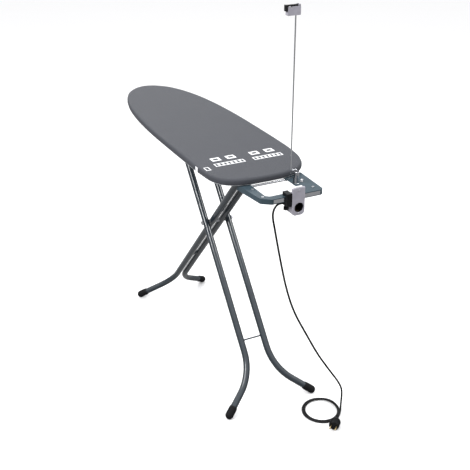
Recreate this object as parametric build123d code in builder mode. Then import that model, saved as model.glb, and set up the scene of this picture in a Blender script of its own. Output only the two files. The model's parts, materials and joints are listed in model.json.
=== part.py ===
from build123d import *
from math import atan2, cos, degrees, hypot, pi, radians, sin
import os

# Adjustable ironing board with an iron rest, a socket outlet with its lead, and a lead mast.
# +Z up, floor at Z = 0. X runs along the board with the nose at -X and the heel at +X.
# Y runs across the board. The origin is on the floor, midway between nose tip and socket face.

# ---------------------------------------------------------------- driving dimensions (mm)
NOSE_X = -657
HEEL_X = 514
BOARD_TOP = 915
BOARD_THICK = 24
COVER_THICK = 2.5
HEM_WIDTH = 36
PAD_THICK = 7.5
DECK_DEPTH = 12
DECK_SKIN = 1.5

TUBE_R = 12.5
TUBE_WALL = 1.5
SCISSOR_X = 89
SCISSOR_Z = 571.5
LINK_RISE = 296.5
LINK_RUN = 256.5
OUTER_LEAN = 39.6
INNER_LEAN = 42.1
OUTER_Y = 47
INNER_Y = 20
OUTER_FOOT_Y = 174
INNER_FOOT_Y = 155
OUTER_FLARE = 140
INNER_FLARE = 131
OUTER_BEND_R = 200
INNER_BEND_R = 160
CAP_R = 15
CAP_SLEEVE = 34
LUG_R = 11
LUG_THICK = 3

SCISSOR_BOLT_R = 4
HEEL_AXLE_R = 5
TOP_AXLE_R = 4
ROLLER_R = 8.1
RUNNING_GAP = 0.05

RAIL_INNER_Y = 82
RAIL_OUTER_Y = 98
RAIL_SHEET = 1.5
RAIL_START_X = -460
RAIL_END_X = -85
STIFFENER_HEIGHT = 8
RACK_PITCH = 40
RACK_HOLE_R = 3.6

TRAY_TOP = 889.5
TRAY_SHEET = 1.5
TRAY_FLANGE = 18
TRAY_CORNER_R = 10
TRAY_FRONT_X = 640
TRAY_REAR_X = 482
ARM_YS = {"left": -83, "right": 102}

SOCKET_FACE_X = 654
SOCKET_WIDTH = 46
SOCKET_Y = 23
SOCKET_BOTTOM = 823
RECESS_Y = 25
RECESS_Z = 850
RECESS_R = 17

MAST_X = 561
MAST_FOOT_Y = 69
MAST_Y = 45
MAST_CRANK_Z = 940
MAST_TOP = 1440
MAST_R = 2.2

CORD_R = 3.5
COIL_CENTRE = (662, 149)
COIL_OUTER_R = 73
COIL_INNER_R = 59
COIL_HEIGHT = 14

# ---------------------------------------------------------------- worked-out levels
BOARD_BOTTOM = BOARD_TOP - BOARD_THICK
PAD_TOP = BOARD_TOP - COVER_THICK
DECK_TOP = PAD_TOP - PAD_THICK
DECK_BOTTOM = DECK_TOP - DECK_DEPTH
SKIN_BOTTOM = DECK_TOP - DECK_SKIN
STIFFENER_BOTTOM = SKIN_BOTTOM - STIFFENER_HEIGHT
PIVOT_Z = SCISSOR_Z + LINK_RISE
HEEL_PIVOT_X = SCISSOR_X + LINK_RUN
TOP_PIVOT_X = SCISSOR_X - LINK_RUN
SIDES = {"left": -1, "right": 1}

# Board outline, from the nose tip round to the middle of the heel, as (x, distance from the middle).
NOSE_HALF = [
    (-642, 45),
    (-596, 93),
    (-516, 131),
    (-406, 160),
    (-274, 178),
    (-114, 188),
    (46, 190),
    (206, 190),
]
LEFT_HEEL = [(346, 189), (431, 183), (478, 160), (502, 120), (512, 60)]
RIGHT_HEEL = [(316, 187), (396, 177), (458, 152), (494, 112), (510, 60)]


def save(piece, label):
    """Name a finished piece and write it as its own STEP file."""
    piece.part.label = label
    export_step(piece.part, f"parts/{label}.step")


def inset_points(points, inset):
    """Move each outline point straight inwards, square to the line through its neighbours."""
    moved = []
    for before, at, after in zip(points, points[1:], points[2:]):
        run_x = after[0] - before[0]
        run_y = after[1] - before[1]
        length = hypot(run_x, run_y)
        moved.append((at[0] + inset * run_y / length, at[1] - inset * run_x / length))
    return moved


def bend_radii(points):
    """Largest bend at each corner: 0.45 of the shorter run over the tangent of half the turn."""
    radii = []
    for before, at, after in zip(points, points[1:], points[2:]):
        first = Vector(at) - Vector(before)
        second = Vector(after) - Vector(at)
        half_turn = radians(first.get_angle(second)) / 2
        radii.append(0.45 * min(first.length, second.length) * cos(half_turn) / sin(half_turn))
    return radii


def board_sketch(level, inset):
    """Board outline at a level, drawn in by inset from the cover's outer edge."""
    right = inset_points([(NOSE_X, 0), *NOSE_HALF, *RIGHT_HEEL, (HEEL_X, 0)], inset)
    left = inset_points([(NOSE_X, 0), *NOSE_HALF, *LEFT_HEEL, (HEEL_X, 0)], inset)
    corners = [(NOSE_X + inset, 0), *right, (HEEL_X - inset, 0), *[(x, -y) for x, y in reversed(left)]]
    radii = bend_radii([corners[-1], *corners, corners[0]])
    with BuildSketch(Plane.XY.offset(level)) as face:
        with BuildLine():
            FilletPolyline(*corners, radius=radii, close=True)
        make_face()
    return face.sketch


def across(y):
    """Plane facing -Y whose origin lies at the given Y, with local y up."""
    return Plane.XZ.offset(-y)


def cross_rod(x, z, radius, y_from, y_to):
    """Solid round rod along Y, as a private shape to add to or cut from a part."""
    rod = Cylinder(radius, y_to - y_from, rotation=(90, 0, 0), mode=Mode.PRIVATE)
    return Pos(x, (y_from + y_to) / 2, z) * rod


# ---------------------------------------------------------------- board: deck, pad and cover
with BuildPart() as deck:
    extrude(board_sketch(DECK_BOTTOM, COVER_THICK), amount=DECK_DEPTH)
    extrude(board_sketch(DECK_BOTTOM, COVER_THICK + 2), amount=DECK_DEPTH - DECK_SKIN, mode=Mode.SUBTRACT)
    with BuildSketch(Plane.XY.offset(SKIN_BOTTOM - 1)):
        with Locations((-60, 0)):
            with GridLocations(46, 46, 18, 5):
                Circle(7)
    extrude(amount=DECK_SKIN + 2, mode=Mode.SUBTRACT)
save(deck, "deck")

with BuildPart() as pad:
    extrude(board_sketch(DECK_TOP, COVER_THICK), amount=PAD_THICK)
save(pad, "pad")

with BuildPart() as cover:
    extrude(board_sketch(BOARD_BOTTOM, 0), amount=BOARD_THICK)
    extrude(board_sketch(DECK_BOTTOM, COVER_THICK), amount=DECK_DEPTH + PAD_THICK, mode=Mode.SUBTRACT)
    extrude(
        board_sketch(BOARD_BOTTOM - 1, HEM_WIDTH),
        amount=DECK_BOTTOM - BOARD_BOTTOM + 2,
        mode=Mode.SUBTRACT,
    )
save(cover, "cover")

with BuildPart() as stiffeners:
    for stiffener_x in (-450, -270, -95):
        with BuildSketch(Plane.XZ.offset(-118)):
            with Locations((stiffener_x, STIFFENER_BOTTOM + STIFFENER_HEIGHT / 2)):
                Rectangle(26, STIFFENER_HEIGHT)
            with Locations((stiffener_x, STIFFENER_BOTTOM + STIFFENER_HEIGHT / 2 + 1)):
                Rectangle(23, STIFFENER_HEIGHT - 2, mode=Mode.SUBTRACT)
        extrude(amount=236)
save(stiffeners, "stiffeners")

# ---------------------------------------------------------------- rails for the top axle
RAIL_LENGTH = RAIL_END_X - RAIL_START_X
LOWER_LIP_TOP = PIVOT_Z - ROLLER_R - 0.2
UPPER_LIP_BOTTOM = PIVOT_Z + ROLLER_R + 0.4
RAIL_BOTTOM = LOWER_LIP_TOP - RAIL_SHEET
for name, side in SIDES.items():
    with BuildPart() as rail:
        with BuildSketch(Plane.YZ.offset(RAIL_START_X)):
            with Locations((side * (RAIL_OUTER_Y - RAIL_SHEET / 2), (RAIL_BOTTOM + STIFFENER_BOTTOM) / 2)):
                Rectangle(RAIL_SHEET, STIFFENER_BOTTOM - RAIL_BOTTOM)
            with Locations((side * (RAIL_INNER_Y + RAIL_OUTER_Y) / 2, RAIL_BOTTOM + RAIL_SHEET / 2)):
                Rectangle(RAIL_OUTER_Y - RAIL_INNER_Y, RAIL_SHEET)
            with Locations((side * (RAIL_INNER_Y + RAIL_OUTER_Y) / 2, UPPER_LIP_BOTTOM + RAIL_SHEET / 2)):
                Rectangle(RAIL_OUTER_Y - RAIL_INNER_Y, RAIL_SHEET)
            with Locations((side * (RAIL_OUTER_Y + 6), STIFFENER_BOTTOM - RAIL_SHEET / 2)):
                Rectangle(15, RAIL_SHEET)
        extrude(amount=RAIL_LENGTH)
        web_y = side * (RAIL_OUTER_Y - RAIL_SHEET / 2)
        for step in range(-1, 7):
            notch_x = TOP_PIVOT_X - RACK_PITCH * step
            add(cross_rod(notch_x, PIVOT_Z, RACK_HOLE_R, web_y - 3, web_y + 3), mode=Mode.SUBTRACT)
    save(rail, f"rail_{name}")

# ---------------------------------------------------------------- heel hinge on the deck
CHEEK_Y = 36
CHEEK_THICK = 3
with BuildPart() as heel_bracket:
    for side in SIDES.values():
        with BuildSketch(across(side * (CHEEK_Y + CHEEK_THICK / 2) + CHEEK_THICK / 2)):
            with BuildLine():
                Polyline(
                    (HEEL_PIVOT_X - 34, SKIN_BOTTOM),
                    (HEEL_PIVOT_X - 12, PIVOT_Z - 12),
                    (HEEL_PIVOT_X + 12, PIVOT_Z - 12),
                    (HEEL_PIVOT_X + 34, SKIN_BOTTOM),
                    close=True,
                )
            make_face()
        extrude(amount=CHEEK_THICK)
    with Locations((HEEL_PIVOT_X, 0, SKIN_BOTTOM - 1.5)):
        Box(68, 2 * (CHEEK_Y + CHEEK_THICK), 3)
    add(cross_rod(HEEL_PIVOT_X, PIVOT_Z, HEEL_AXLE_R, -50, 50), mode=Mode.SUBTRACT)
save(heel_bracket, "heel_bracket")

with BuildPart() as heel_axle:
    add(cross_rod(HEEL_PIVOT_X, PIVOT_Z, HEEL_AXLE_R, -39, 39))
    add(cross_rod(HEEL_PIVOT_X, PIVOT_Z, 8, -43, -39))
    add(cross_rod(HEEL_PIVOT_X, PIVOT_Z, 8, 39, 43))
save(heel_axle, "heel_axle")


# ---------------------------------------------------------------- legs
class Leg:
    """One tube of a leg pair: a straight run down from the scissor, then a flared foot."""

    def __init__(self, lean, heading, track_y, foot_y, flare, bend_r, pivot_x, side):
        self.side = side
        self.track_y = side * track_y
        self.lean = radians(lean)
        self.heading = heading
        floor_run = SCISSOR_Z / cos(self.lean)
        self.foot_run = floor_run - CAP_R / cos(self.lean)
        self.corner = self.point(floor_run - flare, self.track_y)
        self.end = self.point(self.foot_run, side * foot_y)
        to_pivot = Vector(pivot_x - SCISSOR_X, 0, LINK_RISE)
        self.top_run = -to_pivot.dot(Vector(-heading * sin(self.lean), 0, cos(self.lean)))
        self.pivot = Vector(pivot_x, self.track_y, PIVOT_Z)
        self.bend_r = bend_r

    def point(self, run, y):
        """Point on the leg's plane, run mm below the scissor pivot along the tube."""
        return Vector(SCISSOR_X + self.heading * run * sin(self.lean), y, SCISSOR_Z - run * cos(self.lean))

    def wire(self, top_run):
        """Centre line of the tube from its top end to the centre of the foot's round end."""
        FilletPolyline(self.point(top_run, self.track_y), self.corner, self.end, radius=self.bend_r)

    def envelope(self):
        """Solid round bar of the tube's straight run, for cutting saddles in welded pieces."""
        top = self.point(self.top_run - 30, self.track_y)
        length = (self.corner - top).length
        bar = Cylinder(TUBE_R, length, align=(Align.CENTER, Align.CENTER, Align.MIN), mode=Mode.PRIVATE)
        return Plane(origin=top, z_dir=self.corner - top) * bar

    def foot_plane(self):
        """Plane through the foot's end: local y along the tube, local z across it."""
        along = (self.end - self.corner).normalized()
        sideways = Vector(cos(self.lean), 0, self.heading * sin(self.lean))
        return Plane(origin=self.end, x_dir=sideways, z_dir=sideways.cross(along))


def outer_leg(side):
    """Tube of the pair whose feet stand under the heel."""
    return Leg(OUTER_LEAN, 1, OUTER_Y, OUTER_FOOT_Y, OUTER_FLARE, OUTER_BEND_R, TOP_PIVOT_X, side)


def inner_leg(side):
    """Tube of the pair whose feet stand under the nose."""
    return Leg(INNER_LEAN, -1, INNER_Y, INNER_FOOT_Y, INNER_FLARE, INNER_BEND_R, HEEL_PIVOT_X, side)


PAIRS = {
    "outer": {"leg": outer_leg, "bolt_gap": RUNNING_GAP, "top_gap": 8, "axle_r": TOP_AXLE_R},
    "inner": {"leg": inner_leg, "bolt_gap": 0, "top_gap": 9, "axle_r": HEEL_AXLE_R + RUNNING_GAP},
}
for pair, shape in PAIRS.items():
    for name, side in SIDES.items():
        leg = shape["leg"](side)

        with BuildPart() as tube:
            with BuildLine() as centre_line:
                leg.wire(leg.top_run + shape["top_gap"])
            with BuildSketch(Plane(origin=centre_line.line @ 0, z_dir=centre_line.line % 0)):
                Circle(TUBE_R)
                Circle(TUBE_R - TUBE_WALL, mode=Mode.SUBTRACT)
            sweep(path=centre_line.line)
            bolt_r = SCISSOR_BOLT_R + shape["bolt_gap"]
            bolt_hole = cross_rod(SCISSOR_X, SCISSOR_Z, bolt_r, leg.track_y - 20, leg.track_y + 20)
            add(bolt_hole, mode=Mode.SUBTRACT)
        save(tube, f"{pair}_leg_{name}")

        with BuildPart() as foot_cap:
            with BuildSketch(leg.foot_plane()):
                with BuildLine():
                    Polyline(
                        (0, 0),
                        (TUBE_R, 0),
                        (TUBE_R, -CAP_SLEEVE),
                        (CAP_R - 1, -CAP_SLEEVE),
                        (CAP_R, -26),
                        (CAP_R, 0),
                    )
                    CenterArc((0, 0), CAP_R, 0, 90)
                    Line((0, CAP_R), (0, 0))
                make_face()
            revolve(axis=Axis(leg.end, leg.end - leg.corner))
        save(foot_cap, f"{pair}_foot_cap_{name}")

        tube_face_y = side * (abs(leg.track_y) + TUBE_R)
        anchor = leg.point(leg.top_run + 38, 0)
        with BuildPart() as lug:
            run_x = leg.pivot.X - anchor.X
            run_z = leg.pivot.Z - anchor.Z
            with BuildSketch(across(tube_face_y + LUG_THICK if side > 0 else tube_face_y + 2.5)):
                with Locations(((leg.pivot.X + anchor.X) / 2, (leg.pivot.Z + anchor.Z) / 2)):
                    SlotCenterToCenter(hypot(run_x, run_z), 2 * LUG_R, rotation=degrees(atan2(run_z, run_x)))
            extrude(amount=LUG_THICK + 2.5)
            add(leg.envelope(), mode=Mode.SUBTRACT)
            hole = cross_rod(leg.pivot.X, PIVOT_Z, shape["axle_r"], tube_face_y - 20, tube_face_y + 20)
            add(hole, mode=Mode.SUBTRACT)
        save(lug, f"{pair}_lug_{name}")

# Scissor bolt, fixed in the inner pair; the outer pair turns on it.
BOLT_END_Y = OUTER_Y + TUBE_R + 5.5
with BuildPart() as scissor_bolt:
    add(cross_rod(SCISSOR_X, SCISSOR_Z, SCISSOR_BOLT_R, -BOLT_END_Y, BOLT_END_Y))
    add(cross_rod(SCISSOR_X, SCISSOR_Z, 7.5, -BOLT_END_Y, -BOLT_END_Y + 5))
save(scissor_bolt, "scissor_bolt")

with BuildPart() as scissor_nut:
    with BuildSketch(across(BOLT_END_Y)):
        with Locations((SCISSOR_X, SCISSOR_Z)):
            RegularPolygon(8, 6)
            Circle(SCISSOR_BOLT_R, mode=Mode.SUBTRACT)
    extrude(amount=5)
save(scissor_nut, "scissor_nut")

with BuildPart() as scissor_spacer:
    add(cross_rod(SCISSOR_X, SCISSOR_Z, 7, -7.4, 7.4))
    add(cross_rod(SCISSOR_X, SCISSOR_Z, SCISSOR_BOLT_R, -8, 8), mode=Mode.SUBTRACT)
save(scissor_spacer, "scissor_spacer")

WASHER_Y = INNER_Y + TUBE_R
with BuildPart() as scissor_washers:
    for side in SIDES.values():
        middle = side * (WASHER_Y + 0.9)
        add(cross_rod(SCISSOR_X, SCISSOR_Z, 9.5, middle - 0.9, middle + 0.9))
        add(cross_rod(SCISSOR_X, SCISSOR_Z, SCISSOR_BOLT_R, middle - 2, middle + 2), mode=Mode.SUBTRACT)
save(scissor_washers, "scissor_washers")


def tie(leg_maker, run, radius):
    """Round cross-piece between the two tubes of a pair, with its ends coped to the tubes."""
    at = leg_maker(1).point(run, 0)
    bar = cross_rod(at.X, at.Z, radius, -leg_maker(1).track_y, leg_maker(1).track_y)
    return bar - leg_maker(-1).envelope() - leg_maker(1).envelope()


with BuildPart() as inner_tie:
    add(tie(inner_leg, 330, 7))
save(inner_tie, "inner_tie")

with BuildPart() as outer_brace:
    add(tie(outer_leg, 474, 3))
save(outer_brace, "outer_brace")

# Top axle of the outer pair and its rollers, which run in the rails.
with BuildPart() as top_axle:
    add(cross_rod(TOP_PIVOT_X, PIVOT_Z, TOP_AXLE_R, -94.5, 94.5))
save(top_axle, "top_axle")
for name, side in SIDES.items():
    with BuildPart() as roller:
        add(cross_rod(TOP_PIVOT_X, PIVOT_Z, ROLLER_R, side * 89 - 4, side * 89 + 4))
        add(cross_rod(TOP_PIVOT_X, PIVOT_Z, TOP_AXLE_R, side * 89 - 6, side * 89 + 6), mode=Mode.SUBTRACT)
    save(roller, f"roller_{name}")

# ---------------------------------------------------------------- height lock: lever and pawl
LEVER_PIVOT_Y = 140
LEVER_PIVOT_Z = PIVOT_Z + 14
LOCK_X = TOP_PIVOT_X
with BuildPart() as lock_housing:
    with Locations((LOCK_X, 113, PIVOT_Z)):
        Box(28, 30, 24)
    fillet(lock_housing.edges().filter_by(Axis.Y), 3)
    add(cross_rod(LOCK_X, PIVOT_Z, 3 + RUNNING_GAP, 90, 130), mode=Mode.SUBTRACT)
save(lock_housing, "lock_housing")

with BuildPart() as pawl:
    add(cross_rod(LOCK_X, PIVOT_Z, 3, 96.6, LEVER_PIVOT_Y + 6.9))
    add(cross_rod(LOCK_X, PIVOT_Z, 4.5, LEVER_PIVOT_Y + 2.9, LEVER_PIVOT_Y + 5.4))
save(pawl, "pawl")

with BuildPart() as lever_bracket:
    for side in SIDES.values():
        with BuildSketch(Plane.YZ.offset(LOCK_X + side * 21 - 1)):
            with Locations((LEVER_PIVOT_Y - 6, (SKIN_BOTTOM + LEVER_PIVOT_Z - 7) / 2)):
                Rectangle(26, SKIN_BOTTOM - LEVER_PIVOT_Z + 7)
        extrude(amount=2)
    with Locations((LOCK_X, LEVER_PIVOT_Y - 6, SKIN_BOTTOM - 1)):
        Box(44, 26, 2)
    with Locations(Location((LOCK_X, LEVER_PIVOT_Y, LEVER_PIVOT_Z), (0, 90, 0))):
        Cylinder(2.5, 60, mode=Mode.SUBTRACT)
save(lever_bracket, "lever_bracket")

with BuildPart() as lever_pin:
    with Locations(Location((LOCK_X, LEVER_PIVOT_Y, LEVER_PIVOT_Z), (0, 90, 0))):
        Cylinder(2.5, 50)
save(lever_pin, "lever_pin")

with BuildPart() as lever:
    with Locations(Location((LOCK_X, LEVER_PIVOT_Y, LEVER_PIVOT_Z), (0, 90, 0))):
        Cylinder(5, 38)
    with Locations((LOCK_X, LEVER_PIVOT_Y + 19, LEVER_PIVOT_Z - 5)):
        Box(38, 38, 3)
    with Locations((LOCK_X - 30, LEVER_PIVOT_Y + 31, LEVER_PIVOT_Z - 5)):
        Box(98, 14, 3)
    with Locations((LOCK_X, LEVER_PIVOT_Y, LEVER_PIVOT_Z - 12)):
        Box(18, 3, 20)
    with Locations((LOCK_X, LEVER_PIVOT_Y, LEVER_PIVOT_Z - 16)):
        Box(6.8, 4, 14, mode=Mode.SUBTRACT)
    with Locations(Location((LOCK_X, LEVER_PIVOT_Y, LEVER_PIVOT_Z), (0, 90, 0))):
        Cylinder(2.5 + RUNNING_GAP, 60, mode=Mode.SUBTRACT)
save(lever, "lever")

# ---------------------------------------------------------------- iron rest
ARM_HEIGHT = 8
ARM_WIDTH = 12
ARM_TOP = TRAY_TOP - TRAY_SHEET
ARM_REAR_X = 380
ARM_FRONT_X = 618


def tray_outline(inset):
    """Outer edge of the iron rest, open towards the board."""
    rear = TRAY_REAR_X - (10 if inset else 0)
    Polyline(
        (rear, -112 + inset),
        (618 - inset / 2, -96 + inset),
        (TRAY_FRONT_X - inset, -66 + inset / 2),
        (TRAY_FRONT_X - inset, 116 - inset / 2),
        (TRAY_FRONT_X - 8 - inset / 2, 125 - inset),
        (rear, 131 - inset),
        close=True,
    )


with BuildPart() as tray:
    with BuildSketch(Plane.XY.offset(TRAY_TOP - TRAY_FLANGE)) as outside:
        with BuildLine():
            tray_outline(0)
        make_face()
        fillet(outside.vertices().sort_by(Axis.X)[-4:], TRAY_CORNER_R)
    extrude(amount=TRAY_FLANGE)
    with BuildSketch(Plane.XY.offset(TRAY_TOP - TRAY_FLANGE)) as inside:
        with BuildLine():
            tray_outline(TRAY_SHEET)
        make_face()
        fillet(inside.vertices().sort_by(Axis.X)[-4:], TRAY_CORNER_R - TRAY_SHEET)
    extrude(amount=TRAY_FLANGE - TRAY_SHEET, mode=Mode.SUBTRACT)
    with BuildSketch(Plane.XY.offset(TRAY_TOP - 5)) as window:
        with BuildLine():
            Polyline((500, -72), (604, -72), (614, -60), (614, 56), (500, 56), close=True)
        make_face()
        fillet(window.vertices(), 7)
    extrude(amount=10, mode=Mode.SUBTRACT)
    with Locations((MAST_X, MAST_FOOT_Y, TRAY_TOP)):
        Hole(4)
    for arm_y in ARM_YS.values():
        with Locations((540, arm_y, TRAY_TOP), (609, arm_y, TRAY_TOP)):
            Hole(2.5)
save(tray, "tray")

with BuildPart() as tray_trim:
    with Locations((TRAY_FRONT_X + 0.5, 25, TRAY_TOP - 8.5)):
        Box(1, 172, 13)
save(tray_trim, "tray_trim")

for name, arm_y in ARM_YS.items():
    with BuildPart() as arm:
        with Locations(((ARM_REAR_X + ARM_FRONT_X) / 2, arm_y, ARM_TOP - ARM_HEIGHT / 2)):
            Box(ARM_FRONT_X - ARM_REAR_X, ARM_WIDTH, ARM_HEIGHT)
        with Locations((ARM_REAR_X + 14, arm_y, (ARM_TOP + SKIN_BOTTOM) / 2)):
            Box(28, ARM_WIDTH, SKIN_BOTTOM - ARM_TOP)
        with Locations((540, arm_y, ARM_TOP), (609, arm_y, ARM_TOP)):
            Hole(2.5)
    save(arm, f"tray_arm_{name}")

with BuildPart() as tray_rivets:
    for arm_y in ARM_YS.values():
        for rivet_x in (540, 609):
            with Locations((rivet_x, arm_y, (TRAY_TOP + ARM_TOP - ARM_HEIGHT) / 2)):
                Cylinder(2.5, TRAY_TOP - ARM_TOP + ARM_HEIGHT)
            with Locations((rivet_x, arm_y, TRAY_TOP + 0.8)):
                Cylinder(4.5, 1.6)
            with Locations((rivet_x, arm_y, ARM_TOP - ARM_HEIGHT - 0.8)):
                Cylinder(4.5, 1.6)
save(tray_rivets, "tray_rivets")

with BuildPart() as tray_bar:
    add(cross_rod(505, ARM_TOP - 4, 4, ARM_YS["left"] + ARM_WIDTH / 2, ARM_YS["right"] - ARM_WIDTH / 2))
save(tray_bar, "tray_bar")

with BuildPart() as tray_peg:
    with Locations((554, 92, TRAY_TOP + 4)):
        Cylinder(4, 8)
    fillet(tray_peg.edges().group_by(Axis.Z)[-1], 2)
save(tray_peg, "tray_peg")

# ---------------------------------------------------------------- socket outlet on the iron rest
HOUSING_TOP = TRAY_TOP - TRAY_FLANGE - 1
FRONT_PLATE_X = 646
INSERT_REAR_X = 616


def housing_profile(top):
    """Socket housing seen from the front, with a rounded lower end."""
    with BuildSketch(Plane.YZ.offset(FRONT_PLATE_X), mode=Mode.PRIVATE) as profile:
        with Locations((SOCKET_Y, (SOCKET_BOTTOM + top) / 2)):
            Rectangle(SOCKET_WIDTH, top - SOCKET_BOTTOM)
        fillet(profile.vertices().group_by(Axis.Y)[0], 14)
        fillet(profile.vertices().group_by(Axis.Y)[-1], 2)
    return profile.sketch


def recess_cutter(radius, x_from, x_to):
    """Round bar along X on the centre line of the socket recess."""
    bar = Cylinder(radius, x_to - x_from, rotation=(0, 90, 0), mode=Mode.PRIVATE)
    return Pos((x_from + x_to) / 2, RECESS_Y, RECESS_Z) * bar


with BuildPart() as socket_body:
    extrude(housing_profile(HOUSING_TOP), amount=-(FRONT_PLATE_X - 603))
    add(recess_cutter(RECESS_R, INSERT_REAR_X, FRONT_PLATE_X + 1), mode=Mode.SUBTRACT)
save(socket_body, "socket_body")

with BuildPart() as socket_plate:
    extrude(housing_profile(918), amount=SOCKET_FACE_X - FRONT_PLATE_X)
    fillet(socket_plate.faces().sort_by(Axis.X)[-1].edges(), 1.5)
    add(recess_cutter(RECESS_R, FRONT_PLATE_X - 1, SOCKET_FACE_X + 1), mode=Mode.SUBTRACT)
save(socket_plate, "socket_plate")

with BuildPart() as socket_insert:
    add(recess_cutter(RECESS_R, INSERT_REAR_X, 651))
    add(recess_cutter(RECESS_R - 1.5, INSERT_REAR_X + 6, 652), mode=Mode.SUBTRACT)
    for side in SIDES.values():
        with Locations(Location((INSERT_REAR_X, RECESS_Y + side * 9.5, RECESS_Z), (0, 90, 0))):
            Cylinder(2.5, 20, mode=Mode.SUBTRACT)
save(socket_insert, "socket_insert")

with BuildPart() as earth_clips:
    for side in SIDES.values():
        with Locations((634, RECESS_Y, RECESS_Z + side * (RECESS_R - 2.6))):
            Box(22, 6, 1.6)
save(earth_clips, "earth_clips")

# Clamp that grips the front strip of the iron rest, with its thumb screw below.
CLAMP_SCREW_X = 628
CLAMP_SCREW_Y = -9
with BuildPart() as socket_clamp:
    with BuildSketch(across(0)):
        with BuildLine():
            Polyline(
                (620, 858),
                (652, 858),
                (652, 902),
                (620, 902),
                (620, TRAY_TOP),
                (641.2, TRAY_TOP),
                (641.2, HOUSING_TOP),
                (620, HOUSING_TOP),
                close=True,
            )
        make_face()
    extrude(amount=18)
    with Locations((CLAMP_SCREW_X, CLAMP_SCREW_Y, 864)):
        Cylinder(3 + RUNNING_GAP, 40, mode=Mode.SUBTRACT)
save(socket_clamp, "socket_clamp")

with BuildPart() as clamp_screw:
    with Locations((CLAMP_SCREW_X, CLAMP_SCREW_Y, 867.6)):
        Cylinder(3, 40)
    with BuildSketch(Plane.XY.offset(839)):
        with Locations((CLAMP_SCREW_X, CLAMP_SCREW_Y)):
            Circle(7.5)
            with PolarLocations(7.5, 10):
                Circle(1, mode=Mode.SUBTRACT)
    extrude(amount=11)
save(clamp_screw, "clamp_screw")

GLAND_X = 612
GLAND_Z = 858
GLAND_TIP_Y = -8
with BuildPart() as cord_gland:
    with BuildSketch(Plane.XY.offset(GLAND_Z)):
        with BuildLine():
            Polyline(
                (GLAND_X, 0),
                (GLAND_X + 6, 0),
                (GLAND_X + 6, -4),
                (GLAND_X + 4.5, GLAND_TIP_Y),
                (GLAND_X, GLAND_TIP_Y),
                close=True,
            )
        make_face()
    revolve(axis=Axis((GLAND_X, 0, GLAND_Z), (0, 1, 0)))
save(cord_gland, "cord_gland")

# ---------------------------------------------------------------- lead mast, hooks and clip
with BuildPart() as mast_bush:
    with Locations((MAST_X, MAST_FOOT_Y, TRAY_TOP + 9)):
        Cylinder(6, 18)
    with Locations((MAST_X, MAST_FOOT_Y, TRAY_TOP - 5)):
        Cylinder(4, 10)
    with Locations((MAST_X, MAST_FOOT_Y, TRAY_TOP)):
        Cylinder(MAST_R + RUNNING_GAP, 60, mode=Mode.SUBTRACT)
save(mast_bush, "mast_bush")

with BuildPart() as mast:
    with BuildLine() as mast_line:
        FilletPolyline(
            (MAST_X, MAST_FOOT_Y, TRAY_TOP - 12),
            (MAST_X, MAST_FOOT_Y, MAST_CRANK_Z),
            (MAST_X, MAST_Y, MAST_CRANK_Z),
            (MAST_X, MAST_Y, MAST_TOP),
            radius=6,
        )
    with BuildSketch(Plane(origin=mast_line.line @ 0, z_dir=mast_line.line % 0)):
        Circle(MAST_R)
    sweep(path=mast_line.line)
save(mast, "mast")

with BuildPart() as mast_collar:
    with Locations((MAST_X, MAST_FOOT_Y, TRAY_TOP + 20.5)):
        Cylinder(5, 4)
        Cylinder(MAST_R, 5, mode=Mode.SUBTRACT)
save(mast_collar, "mast_collar")

UPPER_HOOK = [(561, 58, TRAY_TOP), (561, 58, 932), (561, 45, 932), (561, 45, 912), (561, 34, 912)]
LOWER_HOOK = [(549, 63, TRAY_TOP), (549, 63, 908), (549, 44, 908), (549, 36, 900)]
HOOKS = [UPPER_HOOK, LOWER_HOOK]
with BuildPart() as cord_hooks:
    for points in HOOKS:
        with BuildLine() as hook_line:
            FilletPolyline(*points, radius=4)
        with BuildSketch(Plane(origin=hook_line.line @ 0, z_dir=hook_line.line % 0)):
            Circle(1.5)
        sweep(path=hook_line.line)
save(cord_hooks, "cord_hooks")

CLIP_BOTTOM = MAST_TOP - 2
CLIP_TOP = 1464
JAW_PIN_Y = 54
JAW_PIN_Z = CLIP_TOP + 3
with BuildPart() as clip_body:
    with Locations((MAST_X, 36, (CLIP_BOTTOM + CLIP_TOP) / 2)):
        Box(15, 44, CLIP_TOP - CLIP_BOTTOM)
    fillet(clip_body.edges().filter_by(Axis.X), 2)
    for side in SIDES.values():
        with Locations((MAST_X + side * 6.25, JAW_PIN_Y - 0.5, CLIP_TOP + 1)):
            Box(2.5, 7, 10)
    with Locations(Location((MAST_X, 26, CLIP_TOP), (0, 90, 0))):
        Cylinder(4.5, 20, mode=Mode.SUBTRACT)
    with Locations(Location((MAST_X, JAW_PIN_Y, JAW_PIN_Z), (0, 90, 0))):
        Cylinder(1.5, 20, mode=Mode.SUBTRACT)
    with Locations((MAST_X, MAST_Y, CLIP_BOTTOM + 1)):
        Cylinder(MAST_R, 2, mode=Mode.SUBTRACT)
save(clip_body, "clip_body")

with BuildPart() as clip_pin:
    with Locations(Location((MAST_X, JAW_PIN_Y, JAW_PIN_Z), (0, 90, 0))):
        Cylinder(1.5, 17)
save(clip_pin, "clip_pin")

with BuildPart() as clip_jaw:
    with Locations(Location((MAST_X, JAW_PIN_Y, JAW_PIN_Z), (0, 90, 0))):
        Cylinder(2.7, 9.6)
    with Locations((MAST_X, 31, CLIP_TOP + 3.3)):
        Box(9.6, 44, 3.4)
    with Locations((MAST_X, 10.5, CLIP_TOP - 4)):
        Box(15, 4, 18)
    with Locations(Location((MAST_X, JAW_PIN_Y, JAW_PIN_Z), (0, 90, 0))):
        Cylinder(1.5 + RUNNING_GAP, 20, mode=Mode.SUBTRACT)
save(clip_jaw, "clip_jaw")

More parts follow.
